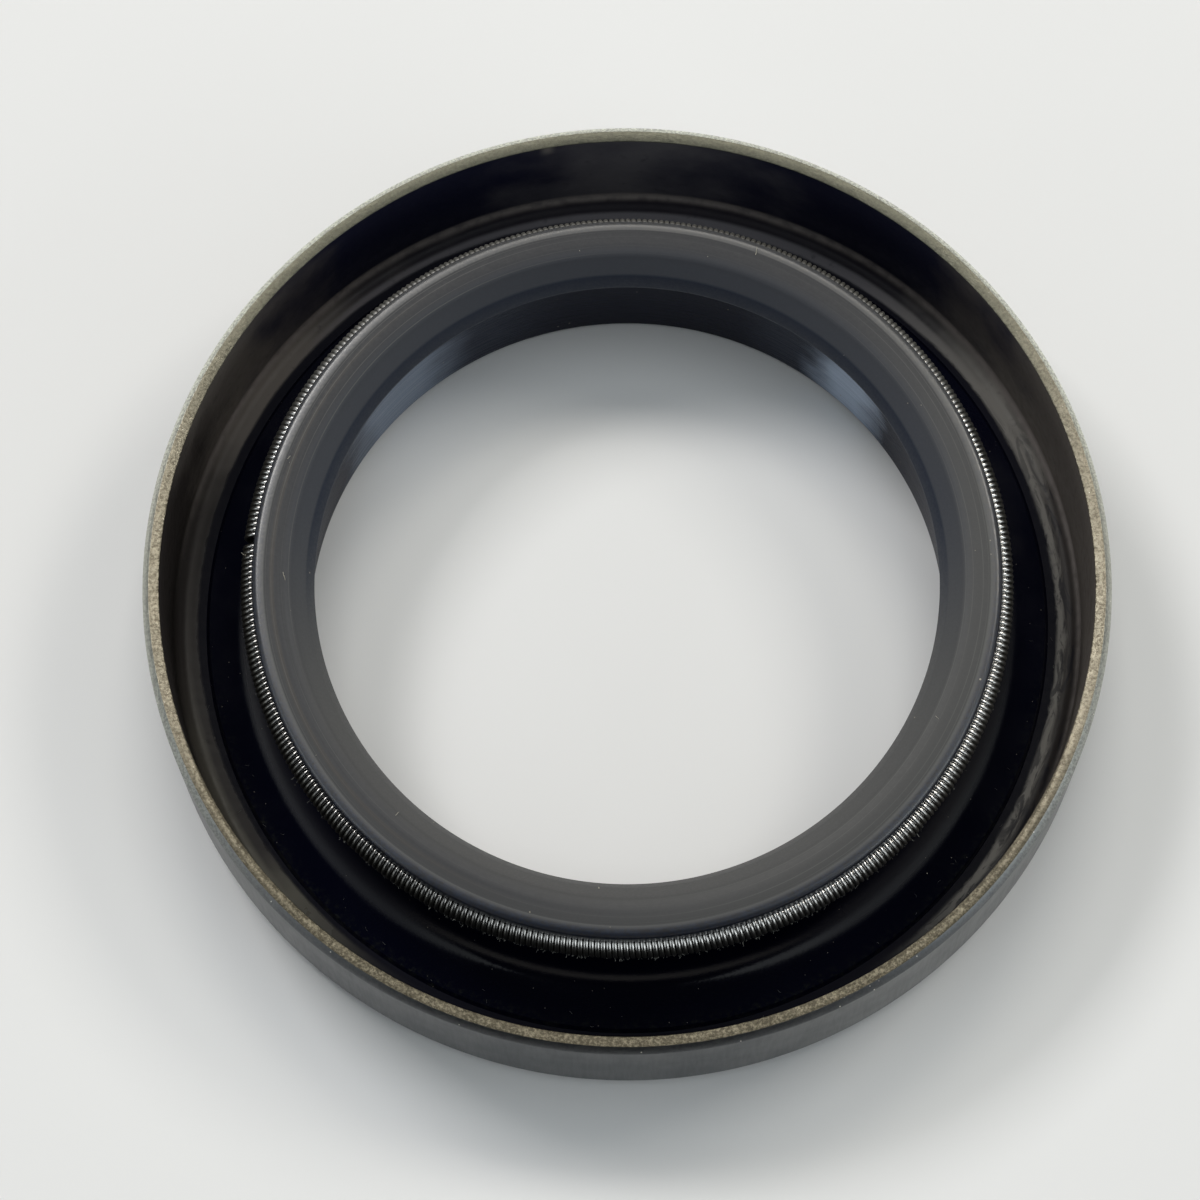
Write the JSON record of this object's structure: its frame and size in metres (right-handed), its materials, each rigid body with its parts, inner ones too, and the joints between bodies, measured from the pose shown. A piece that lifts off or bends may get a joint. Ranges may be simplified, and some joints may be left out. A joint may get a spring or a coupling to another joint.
{
  "type": "radial shaft seal",
  "caption": "Round oil seal for a turning shaft: an open steel cup carrying a black rubber lip that a coil spring ring presses onto the shaft.",
  "frame": {"origin": "centre of the air-side back face, on the shaft's axis", "axes": "+Z along the shaft's axis, towards the open oil side with the spring"},
  "size_m": [0.068, 0.068, 0.0134],
  "materials": {
    "case_steel": "satin",
    "lip_rubber": "satin",
    "spring_steel": "satin"
  },
  "bodies": {
    "root": {"outer_case": "case_steel", "sealing_lip": "lip_rubber", "garter_spring": "spring_steel"}
  },
  "joints": []
}
